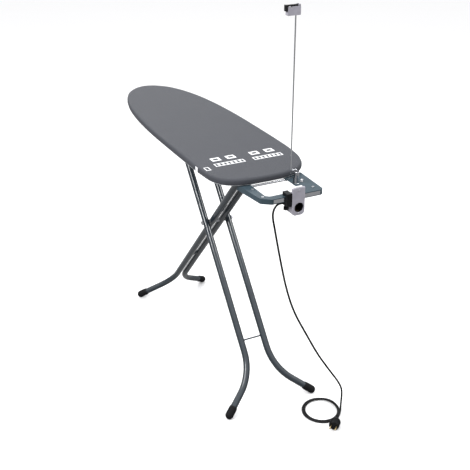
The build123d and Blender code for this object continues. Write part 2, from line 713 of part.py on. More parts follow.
# ---------------------------------------------------------------- supply lead, coil and plug
LEAD_ROUTE = [
    (GLAND_X, GLAND_TIP_Y, GLAND_Z),
    (612.5, -22, 858),
    (613.5, -35, 852.5),
    (615, -44.5, 842.5),
    (617, -49.5, 829.5),
    (620, -51, 811),
    (626, -47, 780),
    (634, -39, 720),
    (642, -27, 645),
    (652, -12, 560),
    (665, 12, 470),
    (681, 57, 375),
    (691, 101, 285),
    (695, 148, 210),
    (689, 196, 138),
    (681, 220.5, 92),
    (676, 227, 57),
    (675.3, 226.5, 32.5),
    (679.7, 223.2, 19.3),
    (687.8, 217.1, 9.2),
]
TAIL_ROUTE = [(694, 206, 10.5), (714, 193, 13.5), (733, 176, 19)]

for label, route in {"lead": LEAD_ROUTE, "lead_tail": TAIL_ROUTE}.items():
    with BuildPart() as lead:
        with BuildLine() as lead_line:
            FilletPolyline(*route, radius=bend_radii(route))
        with BuildSketch(Plane(origin=lead_line.line @ 0, z_dir=lead_line.line % 0)):
            Circle(CORD_R)
        sweep(path=lead_line.line)
    save(lead, label)
    print(label, "bend radii", [round(radius) for radius in bend_radii(route)])
    length = sum(edge.length for edge in lead_line.line.edges())
    expected = pi * CORD_R**2 * length
    print(label, "length", round(length), "volume", round(lead.part.volume), "of", round(expected))

with BuildPart() as lead_coil:
    with BuildSketch():
        with Locations(COIL_CENTRE):
            Circle(COIL_OUTER_R)
            Circle(COIL_INNER_R, mode=Mode.SUBTRACT)
    extrude(amount=COIL_HEIGHT)
    fillet(lead_coil.edges(), 3)
save(lead_coil, "lead_coil")

PLUG_R = 19
PLUG_LENGTH = 62
PLUG_START = Vector(*TAIL_ROUTE[-1])
PLUG_HEADING = Vector(0.683, -0.730, 0).normalized()
PLUG_ACROSS = PLUG_HEADING.cross(Vector(0, 0, 1))
with BuildPart() as plug:
    with BuildSketch(Plane(origin=PLUG_START, x_dir=PLUG_ACROSS, z_dir=PLUG_ACROSS.cross(PLUG_HEADING))):
        with BuildLine():
            Polyline(
                (0, 0),
                (4.5, 0),
                (6.5, 20),
                (12, 24),
                (PLUG_R, 34),
                (PLUG_R, PLUG_LENGTH - 4),
                (PLUG_R - 3, PLUG_LENGTH),
                (0, PLUG_LENGTH),
                close=True,
            )
        make_face()
    revolve(axis=Axis(PLUG_START, PLUG_HEADING))
save(plug, "plug")

with BuildPart() as plug_pins:
    plug_face = Plane(origin=PLUG_START + PLUG_HEADING * PLUG_LENGTH, z_dir=PLUG_HEADING, x_dir=PLUG_ACROSS)
    with BuildSketch(plug_face):
        with Locations((-9.5, 0), (9.5, 0)):
            Circle(2.4)
    extrude(amount=19)
    fillet(plug_pins.edges().filter_by(GeomType.CIRCLE).sort_by(Axis(PLUG_START, PLUG_HEADING))[-2:], 1)
save(plug_pins, "plug_pins")
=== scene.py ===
import json
from math import cos, pi, radians, sin

import bmesh
import bpy
from bpy.props import FloatProperty, FloatVectorProperty, PointerProperty
from mathutils import Matrix, Vector, noise


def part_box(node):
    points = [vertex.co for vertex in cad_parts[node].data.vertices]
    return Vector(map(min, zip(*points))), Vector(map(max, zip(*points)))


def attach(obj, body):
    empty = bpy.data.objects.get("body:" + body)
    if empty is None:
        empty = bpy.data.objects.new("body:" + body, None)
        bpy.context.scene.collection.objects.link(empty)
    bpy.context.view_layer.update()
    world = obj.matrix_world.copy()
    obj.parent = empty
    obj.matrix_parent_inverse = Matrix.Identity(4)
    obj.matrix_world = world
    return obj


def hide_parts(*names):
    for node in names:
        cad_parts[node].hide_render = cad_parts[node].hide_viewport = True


bl_info = {
    "name": "Ironing board",
    "version": (1, 0, 0),
    "blender": (4, 5, 0),
    "location": "View3D > Sidebar > Ironing board",
    "description": "Makes the cloth, the supply lead, the fittings and the finishes of an ironing board",
    "category": "Object",
}

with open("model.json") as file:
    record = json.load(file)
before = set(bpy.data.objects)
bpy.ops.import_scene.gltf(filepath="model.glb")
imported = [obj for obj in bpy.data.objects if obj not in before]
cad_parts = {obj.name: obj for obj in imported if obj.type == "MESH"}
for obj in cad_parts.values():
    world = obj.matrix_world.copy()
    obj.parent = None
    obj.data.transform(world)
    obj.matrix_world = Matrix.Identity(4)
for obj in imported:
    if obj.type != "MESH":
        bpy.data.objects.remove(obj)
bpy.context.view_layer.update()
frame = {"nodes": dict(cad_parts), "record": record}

COVER_LOW, COVER_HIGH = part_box("cover")
PAD_LOW, PAD_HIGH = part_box("pad")
GLAND_LOW, GLAND_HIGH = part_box("cord_gland")
PLATE_LOW, PLATE_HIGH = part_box("socket_plate")
BOARD_TOP = COVER_HIGH.z

# Points closer than these, in metres, count as one, as level, or as on the board's top.
MERGE_DISTANCE = 1e-6
LEVEL_TOLERANCE = 1e-5
TOP_TOLERANCE = 1e-4
# The gap that keeps a resting piece clear of what it rests on.
CLEARANCE = 0.0002
SHARP_ANGLE = radians(38)

# A Mix node keeps its colour sockets and its value sockets at different numbers.
COLOUR_A, COLOUR_B, COLOUR_RESULT = 6, 7, 2
VALUE_A, VALUE_B, VALUE_RESULT = 2, 3, 0

# ---------------------------------------------------------------- the lead's route
LEAD_ROUTE = [
    (0.612, -0.008, 0.858),
    (0.6125, -0.022, 0.858),
    (0.6135, -0.035, 0.8525),
    (0.615, -0.0445, 0.8425),
    (0.617, -0.0495, 0.8295),
    (0.620, -0.051, 0.811),
    (0.626, -0.047, 0.780),
    (0.634, -0.039, 0.720),
    (0.642, -0.027, 0.645),
    (0.652, -0.012, 0.560),
    (0.665, 0.012, 0.470),
    (0.681, 0.057, 0.375),
    (0.691, 0.101, 0.285),
    (0.695, 0.148, 0.210),
    (0.689, 0.196, 0.138),
    (0.681, 0.2205, 0.092),
    (0.676, 0.227, 0.057),
    (0.6753, 0.2265, 0.0325),
    (0.6797, 0.2232, 0.0193),
    (0.6878, 0.2171, 0.0092),
]
TAIL_ROUTE = [
    (0.694, 0.206, 0.0105),
    (0.714, 0.193, 0.0135),
    (0.733, 0.176, 0.019),
]
COIL_CENTRE = Vector((0.662, 0.149, 0.0))
COIL_START_ANGLE = radians(58.9)
COIL_TURNS = 2.0
POINTS_PER_TURN = 18
PLUG_HEADING = Vector((0.683, -0.730, 0.0)).normalized()


class BoardSizes(bpy.types.PropertyGroup):
    """Sizes of the soft and small pieces that are added to the frame."""

    edge_radius: FloatProperty(
        name="Edge radius",
        description="Radius of the cover where it rolls over the rim of the board",
        default=0.008,
        unit="LENGTH",
    )
    hem_width: FloatProperty(
        name="Hem width",
        description="How far the cover turns in under the board",
        default=0.034,
        unit="LENGTH",
    )
    cloth_thickness: FloatProperty(
        name="Cloth thickness",
        description="Thickness of the cover's cloth",
        default=0.0012,
        unit="LENGTH",
    )
    cloth_cell: FloatProperty(
        name="Cloth cell",
        description="Spacing of the cuts that let the cloth bend",
        default=0.012,
        unit="LENGTH",
    )
    ripple: FloatProperty(
        name="Ripple",
        description="Height of the slack that is left in the cloth",
        default=0.0006,
        unit="LENGTH",
    )
    hem_cord_radius: FloatProperty(
        name="Hem cord radius",
        description="Radius of the draw cord in the hem",
        default=0.0016,
        unit="LENGTH",
    )
    lead_diameter: FloatProperty(
        name="Lead diameter",
        description="Outer diameter of the supply lead",
        default=0.007,
        unit="LENGTH",
    )


class BoardColours(bpy.types.PropertyGroup):
    """Colours of the board's finishes."""

    cloth: FloatVectorProperty(
        name="Cloth",
        description="Colour of the cover's cloth",
        subtype="COLOR",
        default=(0.053, 0.056, 0.066),
    )
    frame_paint: FloatVectorProperty(
        name="Frame paint",
        description="Colour of the gloss paint on the legs",
        subtype="COLOR",
        default=(0.020, 0.028, 0.037),
    )
    rest_paint: FloatVectorProperty(
        name="Rest paint",
        description="Colour of the paint on the iron rest",
        subtype="COLOR",
        default=(0.040, 0.062, 0.078),
    )
    housing: FloatVectorProperty(
        name="Housing",
        description="Colour of the socket housing",
        subtype="COLOR",
        default=(0.34, 0.33, 0.38),
    )
    black: FloatVectorProperty(
        name="Black",
        description="Colour of the black plastic and rubber",
        subtype="COLOR",
        default=(0.006, 0.006, 0.007),
    )
    print_ink: FloatVectorProperty(
        name="Print ink",
        description="Colour of the marks printed on the cover",
        subtype="COLOR",
        default=(0.80, 0.81, 0.83),
    )


def sizes():
    return bpy.context.scene.board_sizes


def colours():
    return bpy.context.scene.board_colours


# ---------------------------------------------------------------- shared shader groups
def add_node(tree, kind, settings=None, **values):
    """Add a node, set its options, and set or link each input, by name or by number as in i0."""
    made = tree.nodes.new(kind)
    for option, choice in (settings or {}).items():
        setattr(made, option, choice)
    for label, value in values.items():
        numbered = label[0] == "i" and label[1:].isdigit()
        socket = made.inputs[int(label[1:]) if numbered else label]
        if isinstance(value, bpy.types.NodeSocket):
            tree.links.new(value, socket)
        else:
            socket.default_value = value
    return made


def combine(tree, operation, first, second=0.0):
    """The output of a Math node that works on one or two values."""
    return add_node(tree, "ShaderNodeMath", {"operation": operation}, i0=first, i1=second).outputs[0]


def shader_group(name, inputs, outputs):
    """Start a node group with named value inputs and outputs."""
    tree = bpy.data.node_groups.new(name, "ShaderNodeTree")
    for label, default in inputs.items():
        socket = tree.interface.new_socket(label, in_out="INPUT", socket_type="NodeSocketFloat")
        socket.default_value = default
    for label in outputs:
        tree.interface.new_socket(label, in_out="OUTPUT", socket_type="NodeSocketFloat")
    return tree, tree.nodes.new("NodeGroupInput"), tree.nodes.new("NodeGroupOutput")


def object_place(tree):
    """Where a point lies on the object, from the object's own origin."""
    return add_node(tree, "ShaderNodeTexCoord").outputs["Object"]


def mottle_group():
    """Slow, cloudy variation in colour or roughness."""
    tree, given, result = shader_group("Mottle", {"Scale": 20.0, "Contrast": 1.0}, ["Amount"])
    cloud = add_node(tree, "ShaderNodeTexNoise", Vector=object_place(tree), Scale=given.outputs["Scale"])
    cloud.inputs["Detail"].default_value = 5.0
    centred = combine(tree, "SUBTRACT", cloud.outputs[0], 0.5)
    spread = combine(tree, "MULTIPLY", centred, given.outputs["Contrast"])
    tree.links.new(combine(tree, "ADD", spread, 0.5), result.inputs["Amount"])
    return tree


def weave_group():
    """Plain woven cloth: threads that pass over and under, with slubs, and painted shade in the weave's
    hollows.
    """
    tree, given, result = shader_group("Plain weave", {"Threads": 900.0}, ["Height", "Shade"])
    place = add_node(tree, "ShaderNodeSeparateXYZ", Vector=object_place(tree)).outputs
    upright = combine(tree, "ADD", place[1], place[2])
    phase = combine(tree, "MULTIPLY", given.outputs["Threads"], 2 * pi)
    warp = combine(tree, "SINE", combine(tree, "MULTIPLY", place[0], phase))
    weft = combine(tree, "SINE", combine(tree, "MULTIPLY", upright, phase))
    crossing = combine(tree, "MULTIPLY", warp, weft)
    slub = add_node(tree, "ShaderNodeTexNoise", Vector=object_place(tree), Scale=420.0)
    height = combine(tree, "ADD", combine(tree, "MULTIPLY", crossing, 0.3), slub.outputs[0])
    tree.links.new(height, result.inputs["Height"])
    # Shade is painted shade: lighter where the threads and slubs stand high, darker in the hollows where
    # they lie low.
    shade = combine(tree, "ADD", combine(tree, "MULTIPLY", height, 0.35), 0.3)
    tree.links.new(shade, result.inputs["Shade"])
    return tree


def grain_group():
    """Drawn or brushed metal: fine lines along X."""
    tree, given, result = shader_group("Drawn grain", {"Scale": 60.0, "Stretch": 30.0}, ["Height", "Shade"])
    place = add_node(tree, "ShaderNodeSeparateXYZ", Vector=object_place(tree)).outputs
    along = combine(tree, "DIVIDE", place[0], given.outputs["Stretch"])
    across = add_node(tree, "ShaderNodeCombineXYZ", X=along, Y=place[1], Z=place[2]).outputs[0]
    lines = add_node(tree, "ShaderNodeTexNoise", Vector=across, Scale=given.outputs["Scale"], Detail=6.0)
    tree.links.new(lines.outputs[0], result.inputs["Height"])
    tree.links.new(lines.outputs[0], result.inputs["Shade"])
    return tree


def pebble_group():
    """Orange peel in paint, or the spark-eroded skin of moulded plastic."""
    tree, given, result = shader_group("Pebble", {"Scale": 900.0}, ["Height"])
    place = object_place(tree)
    skin = add_node(tree, "ShaderNodeTexNoise", Vector=place, Scale=given.outputs["Scale"], Detail=2.0)
    tree.links.new(skin.outputs[0], result.inputs["Height"])
    return tree


GROUP_MAKERS = {
    "Mottle": mottle_group,
    "Plain weave": weave_group,
    "Drawn grain": grain_group,
    "Pebble": pebble_group,
}


def place_group(tree, name, **values):
    """Put a shared group in a material, making it the first time, and set its inputs."""
    made = tree.nodes.new("ShaderNodeGroup")
    made.node_tree = bpy.data.node_groups.get(name) or GROUP_MAKERS[name]()
    for label, value in values.items():
        made.inputs[label].default_value = value
    return made


# ---------------------------------------------------------------- finishes
def start_finish(name, **fixed):
    """Start a material whose Principled shader has these fixed values."""
    material = bpy.data.materials.new(name)
    material.use_nodes = True
    shader = material.node_tree.nodes["Principled BSDF"]
    for label, value in fixed.items():
        shader.inputs[label.replace("_", " ")].default_value = value
    return material, material.node_tree, shader


def vary(tree, shader, source, colour, depth, rough_low, rough_high):
    """Let a 0 to 1 mask shift the base colour and the roughness."""
    dark = [channel * (1 - depth) for channel in colour] + [1]
    light = [min(1, channel * (1 + depth)) for channel in colour] + [1]
    mix = add_node(tree, "ShaderNodeMix", {"data_type": "RGBA"})
    tree.links.new(source, mix.inputs["Factor"])
    mix.inputs[COLOUR_A].default_value = dark
    mix.inputs[COLOUR_B].default_value = light
    tree.links.new(mix.outputs[COLOUR_RESULT], shader.inputs["Base Color"])
    spread = add_node(tree, "ShaderNodeMapRange", Value=source)
    spread.inputs["To Min"].default_value = rough_low
    spread.inputs["To Max"].default_value = rough_high
    tree.links.new(spread.outputs[0], shader.inputs["Roughness"])


def emboss(tree, shader, height, strength, depth):
    """Let a height raise fine relief in the surface."""
    bump = add_node(tree, "ShaderNodeBump", Height=height)
    bump.inputs["Strength"].default_value = strength
    bump.inputs["Distance"].default_value = depth
    tree.links.new(bump.outputs[0], shader.inputs["Normal"])


def cloth_finish():
    material, tree, shader = start_finish(
        "cover_cloth", Sheen_Weight=0.06, Sheen_Roughness=0.4, Specular_IOR_Level=0.25
    )
    weave = place_group(tree, "Plain weave", Threads=620.0)
    mottle = place_group(tree, "Mottle", Scale=14.0, Contrast=0.8)
    # The cloth's colour takes painted shade from the weave's hollows, and a cloudy, uneven tone from the
    # mottle.
    mask = combine(tree, "MULTIPLY", weave.outputs["Shade"], combine(tree, "ADD", mottle.outputs[0], 0.5))
    vary(tree, shader, mask, colours().cloth, 0.28, 0.62, 0.82)
    emboss(tree, shader, weave.outputs["Height"], 0.35, 0.0006)
    return material


def felt_finish():
    material, tree, shader = start_finish("pad_foam", Sheen_Weight=0.3)
    mottle = place_group(tree, "Mottle", Scale=160.0, Contrast=1.6)
    vary(tree, shader, mottle.outputs[0], (0.72, 0.70, 0.64), 0.12, 0.85, 0.97)
    emboss(tree, shader, mottle.outputs[0], 0.5, 0.001)
    return material


def painted_finish(name, colour, depth, roughness, coat, specular):
    """Stove enamel with slight orange peel, and uneven in tone and gloss."""
    material, tree, shader = start_finish(
        name, Coat_Weight=coat, Coat_Roughness=0.12, Specular_IOR_Level=specular
    )
    mottle = place_group(tree, "Mottle", Scale=34.0, Contrast=1.2)
    vary(tree, shader, mottle.outputs[0], colour, depth, roughness - 0.06, roughness + 0.07)
    peel = place_group(tree, "Pebble", Scale=420.0)
    emboss(tree, shader, peel.outputs[0], 0.12, 0.0003)
    return material


def frame_paint_finish():
    return painted_finish("frame_paint", colours().frame_paint, 0.18, 0.20, 0.55, 0.40)


def rest_paint_finish():
    return painted_finish("tray_paint", colours().rest_paint, 0.22, 0.34, 0.05, 0.16)


def deck_finish():
    return painted_finish("deck_steel", (0.42, 0.44, 0.46), 0.10, 0.42, 0.1, 0.32)


def metal_finish(name, colour, low, high, scale, stretch, depth):
    """Bare or plated metal whose drawn grain also varies its tone and gloss."""
    material, tree, shader = start_finish(name, Metallic=1.0)
    grain = place_group(tree, "Drawn grain", Scale=scale, Stretch=stretch)
    vary(tree, shader, grain.outputs["Shade"], colour, 0.12, low, high)
    emboss(tree, shader, grain.outputs["Height"], 0.15, depth)
    return material


def bright_steel_finish():
    return metal_finish("bright_steel", (0.56, 0.57, 0.60), 0.08, 0.22, 90.0, 12.0, 0.0002)


def zinc_finish():
    return metal_finish("zinc_steel", (0.50, 0.51, 0.54), 0.28, 0.50, 150.0, 4.0, 0.0003)


def brass_finish():
    return metal_finish("brass_contact", (0.78, 0.60, 0.30), 0.20, 0.38, 200.0, 6.0, 0.0002)


def moulded_finish(name, colour, low, high, scale, depth, specular):
    """Moulded plastic or rubber with a fine eroded skin, and uneven in tone and gloss."""
    material, tree, shader = start_finish(name, Specular_IOR_Level=specular)
    mottle = place_group(tree, "Mottle", Scale=60.0, Contrast=1.3)
    vary(tree, shader, mottle.outputs[0], colour, 0.15, low, high)
    skin = place_group(tree, "Pebble", Scale=scale)
    emboss(tree, shader, skin.outputs[0], 0.3, depth)
    return material


def foot_rubber_finish():
    return moulded_finish("foot_rubber", colours().black, 0.55, 0.75, 1100.0, 0.0003, 0.14)


def black_plastic_finish():
    return moulded_finish("black_plastic", colours().black, 0.34, 0.52, 1600.0, 0.0002, 0.16)


def housing_finish():
    return moulded_finish("housing_plastic", colours().housing, 0.36, 0.50, 1500.0, 0.0002, 0.5)


def pale_plastic_finish():
    return moulded_finish("pale_plastic", (0.80, 0.80, 0.82), 0.22, 0.36, 900.0, 0.0001, 0.5)


def lead_finish():
    return moulded_finish("lead_pvc", colours().black, 0.38, 0.55, 1300.0, 0.0002, 0.18)


def ink_finish():
    material, tree, shader = start_finish("print_ink")
    mottle = place_group(tree, "Mottle", Scale=260.0, Contrast=1.5)
    vary(tree, shader, mottle.outputs[0], colours().print_ink, 0.12, 0.60, 0.80)
    weave = place_group(tree, "Plain weave", Threads=620.0)
    emboss(tree, shader, weave.outputs["Height"], 0.2, 0.0004)
    return material


FINISHES = {
    "cover_cloth": cloth_finish,
    "pad_foam": felt_finish,
    "deck_steel": deck_finish,
    "frame_paint": frame_paint_finish,
    "tray_paint": rest_paint_finish,
    "bright_steel": bright_steel_finish,
    "zinc_steel": zinc_finish,
    "foot_rubber": foot_rubber_finish,
    "black_plastic": black_plastic_finish,
    "housing_plastic": housing_finish,
    "pale_plastic": pale_plastic_finish,
    "brass_contact": brass_finish,
    "lead_pvc": lead_finish,
    "print_ink": ink_finish,
}
made_finishes = {}


def finish(name):
    """The material of that name, made the first time it is asked for."""
    if name not in made_finishes:
        made_finishes[name] = FINISHES[name]()
    return made_finishes[name]


# ---------------------------------------------------------------- making pieces
def piece_from(shape, name, finish_name, body):
    """Turn a bmesh into a smooth-shaded piece that rides on a body."""
    bmesh.ops.remove_doubles(shape, verts=shape.verts, dist=MERGE_DISTANCE)
    bmesh.ops.recalc_face_normals(shape, faces=shape.faces)
    mesh = bpy.data.meshes.new(name)
    shape.to_mesh(mesh)
    shape.free()
    mesh.shade_smooth()
    mesh.set_sharp_from_angle(angle=SHARP_ANGLE)
    piece = bpy.data.objects.new(name, mesh)
    bpy.context.scene.collection.objects.link(piece)
    mesh.materials.append(finish(finish_name))
    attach(piece, body)
    return piece


def turned(profile, steps=40):
    """Spin a profile of (distance along, radius) points round the local Z axis."""
    shape = bmesh.new()
    corners = [shape.verts.new((radius, 0, along)) for along, radius in profile]
    edges = [shape.edges.new(pair) for pair in zip(corners, corners[1:])]
    bmesh.ops.spin(
        shape,
        geom=corners + edges,
        cent=(0, 0, 0),
        axis=(0, 0, 1),
        dvec=(0, 0, 0),
        angle=2 * pi,
        steps=steps,
        use_merge=True,
    )
    bmesh.ops.remove_doubles(shape, verts=shape.verts, dist=MERGE_DISTANCE)
    return shape


def join_into(shape, other):
    """Move all of another bmesh into a shape."""
    carrier = bpy.data.meshes.new("carrier")
    other.to_mesh(carrier)
    other.free()
    shape.from_mesh(carrier)
    bpy.data.meshes.remove(carrier)


def round_edges(shape, edges, radius, segments):
    """Roll the given edges over to a radius."""
    bmesh.ops.bevel(
        shape,
        geom=edges,
        offset=radius,
        offset_type="OFFSET",
        segments=segments,
        profile=0.5,
        affect="EDGES",
        material=-1,
    )


def aimed(start, heading):
    """The placement that stands the local Z axis along a heading from a start."""
    return Matrix.Translation(start) @ Vector(heading).to_track_quat("Z", "Y").to_matrix().to_4x4()


def board_face(node, level):
    """The outline of a flat CAD piece as one face at a level."""
    shape = bmesh.new()
    shape.from_mesh(frame["nodes"][node].data)
    bmesh.ops.remove_doubles(shape, verts=shape.verts, dist=LEVEL_TOLERANCE)
    lower = [vert for vert in shape.verts if vert.co.z < level - TOP_TOLERANCE]
    bmesh.ops.delete(shape, geom=lower, context="VERTS")
    bmesh.ops.dissolve_faces(shape, faces=shape.faces[:])
    return shape


def rounded_slab(node, level, depth, radius):
    """A slab with the outline of a CAD piece and rolled rims."""
    shape = board_face(node, level)
    raised = bmesh.ops.extrude_face_region(shape, geom=shape.faces[:])
    lowered = [item for item in raised["geom"] if isinstance(item, bmesh.types.BMVert)]
    bmesh.ops.translate(shape, verts=lowered, vec=(0, 0, -depth))
    bmesh.ops.recalc_face_normals(shape, faces=shape.faces)
    rims = [
        edge
        for edge in shape.edges
        if abs(edge.verts[0].co.z - edge.verts[1].co.z) < LEVEL_TOLERANCE
    ]
    round_edges(shape, rims, radius, 5)
    return shape


def cut_in_cells(shape, low, high, cell):
    """Cut a shape along and across so that its cloth can bend."""
    for axis in (0, 1):
        normal = [0, 0, 0]
        normal[axis] = 1
        count = int((high[axis] - low[axis]) / cell)
        for step in range(1, count):
            place = [0, 0, 0]
            place[axis] = low[axis] + step * (high[axis] - low[axis]) / count
            everything = shape.verts[:] + shape.edges[:] + shape.faces[:]
            bmesh.ops.bisect_plane(
                shape,
                geom=everything,
                dist=LEVEL_TOLERANCE,
                plane_co=place,
                plane_no=normal,
            )


def eased(value, start, end):
    """Rise smoothly from 0 at the start to 1 at the end."""
    share = min(1.0, max(0.0, (value - start) / (end - start)))
    return share * share * (3 - 2 * share)


def slack(x, y):
    """How far the cloth stands off its pad at a point of the board."""
    wide = noise.noise(Vector((x * 5, y * 8, 0.3)))
    fine = noise.noise(Vector((x * 21, y * 17, 4.1)))
    return sizes().ripple * (wide + 0.35 * fine)


# ---------------------------------------------------------------- the operators
class IRONING_OT_cover(bpy.types.Operator):
    """Make the cloth cover, drawn over the rim and hemmed under the board."""

    bl_idname = "ironing.cover"
    bl_label = "Cover"

    UNDERSIDE_GAP = 0.0008
    HEM_BAND = 0.002
    PUCKER_HEIGHT = 0.0006
    PUCKERS_PER_METRE = 60
    CORD_RISE = 0.4

    def execute(self, context):
        kit = sizes()
        depth = COVER_HIGH.z - COVER_LOW.z
        shape = rounded_slab("cover", COVER_HIGH.z, depth - self.UNDERSIDE_GAP, kit.edge_radius)
        under = max(
            (face for face in shape.faces if face.normal.z < -0.99),
            key=lambda face: face.calc_area(),
        )
        bmesh.ops.inset_region(
            shape,
            faces=[under],
            thickness=kit.hem_width - kit.edge_radius,
            use_even_offset=True,
            use_boundary=True,
        )
        hem_line = [vert.co.copy() for vert in under.verts]
        bmesh.ops.delete(shape, geom=[under], context="FACES")
        cut_in_cells(shape, COVER_LOW, COVER_HIGH, kit.cloth_cell)
        for vert in shape.verts:
            if vert.co.z > BOARD_TOP - TOP_TOLERANCE:
                vert.co.z += slack(vert.co.x, vert.co.y)
            elif vert.co.z < COVER_LOW.z + self.HEM_BAND:
                flat = vert.co.xy * self.PUCKERS_PER_METRE
                vert.co.z += self.PUCKER_HEIGHT * noise.noise(Vector((*flat, 1.7)))
        cover = piece_from(shape, "cloth_cover", "cover_cloth", "table")
        wall = cover.modifiers.new("Cloth thickness", "SOLIDIFY")
        wall.thickness = kit.cloth_thickness
        wall.offset = -1
        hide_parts("cover")
        draw_cord = self.draw_cord(hem_line, kit.hem_cord_radius)
        return {"FINISHED"}

    def draw_cord(self, line, radius):
        """The cord that gathers the hem, lying along its inner edge."""
        curve = bpy.data.curves.new("hem_cord", "CURVE")
        curve.dimensions = "3D"
        curve.bevel_depth = radius
        curve.bevel_resolution = 2
        spline = curve.splines.new("POLY")
        spline.points.add(len(line) - 1)
        for point, place in zip(spline.points, line):
            point.co = (place.x, place.y, place.z + radius * self.CORD_RISE, 1)
        spline.use_cyclic_u = True
        cord = bpy.data.objects.new("hem_cord", curve)
        bpy.context.scene.collection.objects.link(cord)
        curve.materials.append(finish("cover_cloth"))
        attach(cord, "table")
        return cord


class IRONING_OT_pad(bpy.types.Operator):
    """Make the felt pad that lies between the deck and the cover."""

    bl_idname = "ironing.pad"
    bl_label = "Pad"

    RIM_SHARE = 0.45

    def execute(self, context):
        depth = PAD_HIGH.z - PAD_LOW.z
        shape = rounded_slab("pad", PAD_HIGH.z, depth, depth * self.RIM_SHARE)
        pad = piece_from(shape, "felt_pad", "pad_foam", "table")
        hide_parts("pad")
        return {"FINISHED"}


class IRONING_OT_marks(bpy.types.Operator):
    """Print the plain setting marks near the heel of the cover."""

    bl_idname = "ironing.marks"
    bl_label = "Marks"

    SQUARE = Vector((0.030, 0.034))
    STRIP = Vector((0.026, 0.112))
    SQUARE_PLACES = [(0.304, -0.104), (0.304, -0.047), (0.307, 0.044), (0.306, 0.103)]
    EDGE_SQUARE = Vector((0.030, 0.018))
    EDGE_PLACE = (0.372, -0.166)
    STRIP_PLACES = [(0.354, -0.074), (0.356, 0.072)]
    STRIP_WINDOWS = 7
    SQUARE_BORDER = 0.0110
    EDGE_BORDER = 0.0050
    STRIP_BORDER = 0.0052
    LIFT = 0.00025

    def panel(self, shape, centre, size, cells, border):
        """A printed rectangle with a row of open windows."""
        stretch = Matrix.Diagonal((size.x / 2, size.y / 2, 1, 1))
        place = Matrix.Translation((*centre, 0)) @ stretch
        made = bmesh.ops.create_grid(shape, x_segments=1, y_segments=cells, size=1, matrix=place)
        corners = set(made["verts"])
        faces = [face for face in shape.faces if corners.issuperset(face.verts)]
        bmesh.ops.inset_individual(shape, faces=faces, thickness=border)
        bmesh.ops.delete(shape, geom=faces, context="FACES")

    def execute(self, context):
        shape = bmesh.new()
        for centre in self.SQUARE_PLACES:
            self.panel(shape, centre, self.SQUARE, 1, self.SQUARE_BORDER)
        self.panel(shape, self.EDGE_PLACE, self.EDGE_SQUARE, 1, self.EDGE_BORDER)
        for centre in self.STRIP_PLACES:
            self.panel(shape, centre, self.STRIP, self.STRIP_WINDOWS, self.STRIP_BORDER)
        bmesh.ops.subdivide_edges(shape, edges=shape.edges[:], cuts=2, use_grid_fill=True)
        for vert in shape.verts:
            vert.co.z = BOARD_TOP + slack(vert.co.x, vert.co.y) + self.LIFT
        marks = piece_from(shape, "setting_marks", "print_ink", "table")
        for face in marks.data.polygons:
            if face.normal.z < 0:
                face.flip()
        return {"FINISHED"}


class IRONING_OT_tag(bpy.types.Operator):
    """Sew the plain white care tab into the cover's edge near the heel."""

    bl_idname = "ironing.tag"
    bl_label = "Care tab"

    PLACE = Vector((0.338, -0.1905, 0.906))
    SIZE = Vector((0.018, 0.0012, 0.016))
    EDGE_RADIUS = 0.0004

    def execute(self, context):
        shape = bmesh.new()
        place = Matrix.Translation(self.PLACE) @ Matrix.Diagonal((*self.SIZE, 1))
        bmesh.ops.create_cube(shape, size=1, matrix=place)
        round_edges(shape, shape.edges[:], self.EDGE_RADIUS, 2)
        piece_from(shape, "care_tab", "print_ink", "table")
        return {"FINISHED"}


class IRONING_OT_plug(bpy.types.Operator):
    """Make the moulded plug with its grip rings and ribbed sleeve."""

    bl_idname = "ironing.plug"
    bl_label = "Plug"

    BODY = [(0.024, 0.0), (0.024, 0.011), (0.030, 0.0165), (0.034, 0.0182)]
    FACE = [(0.058, 0.0190), (0.0605, 0.0182), (0.062, 0.0165), (0.062, 0.0)]
    RINGS = 5
    FIRST_RING = 0.036
    RING_STEP = 0.0044
    RING_RADIUS = 0.0190
    GROOVE_RADIUS = 0.0180
    RIBS = 6
    FIRST_RIB = 0.001
    RIB_STEP = 0.0038
    RIB_HEIGHT = 0.0008
    SLEEVE_BORE = 0.0035

    def grip(self):
        """The profile of the body, with its grip rings and its face."""
        profile = list(self.BODY)
        for ring in range(self.RINGS):
            along = self.FIRST_RING + ring * self.RING_STEP
            profile += [(along, self.RING_RADIUS), (along + 0.0022, self.RING_RADIUS)]
            profile += [(along + 0.0026, self.GROOVE_RADIUS), (along + 0.0040, self.GROOVE_RADIUS)]
        return profile + self.FACE

    def sleeve(self):
        """The profile of the ribbed sleeve, which widens towards the body."""
        profile = [(0.0, self.SLEEVE_BORE), (0.0, 0.0044)]
        for rib in range(self.RIBS):
            along = self.FIRST_RIB + rib * self.RIB_STEP
            radius = 0.0046 + rib * 0.0004
            profile += [(along, radius), (along + 0.0019, radius)]
            groove = radius - self.RIB_HEIGHT
            profile += [(along + 0.0022, groove), (along + 0.0036, groove)]
        return profile + [(0.0245, 0.0060), (0.0245, self.SLEEVE_BORE)]

    def execute(self, context):
        place = aimed(TAIL_ROUTE[-1], PLUG_HEADING)
        shape = turned(self.grip())
        bmesh.ops.transform(shape, matrix=place, verts=shape.verts)
        plug = piece_from(shape, "moulded_plug", "black_plastic", "table")
        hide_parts("plug")
        shape = turned(self.sleeve(), 24)
        bmesh.ops.transform(shape, matrix=place, verts=shape.verts)
        piece_from(shape, "plug_sleeve", "black_plastic", "table")
        return {"FINISHED"}


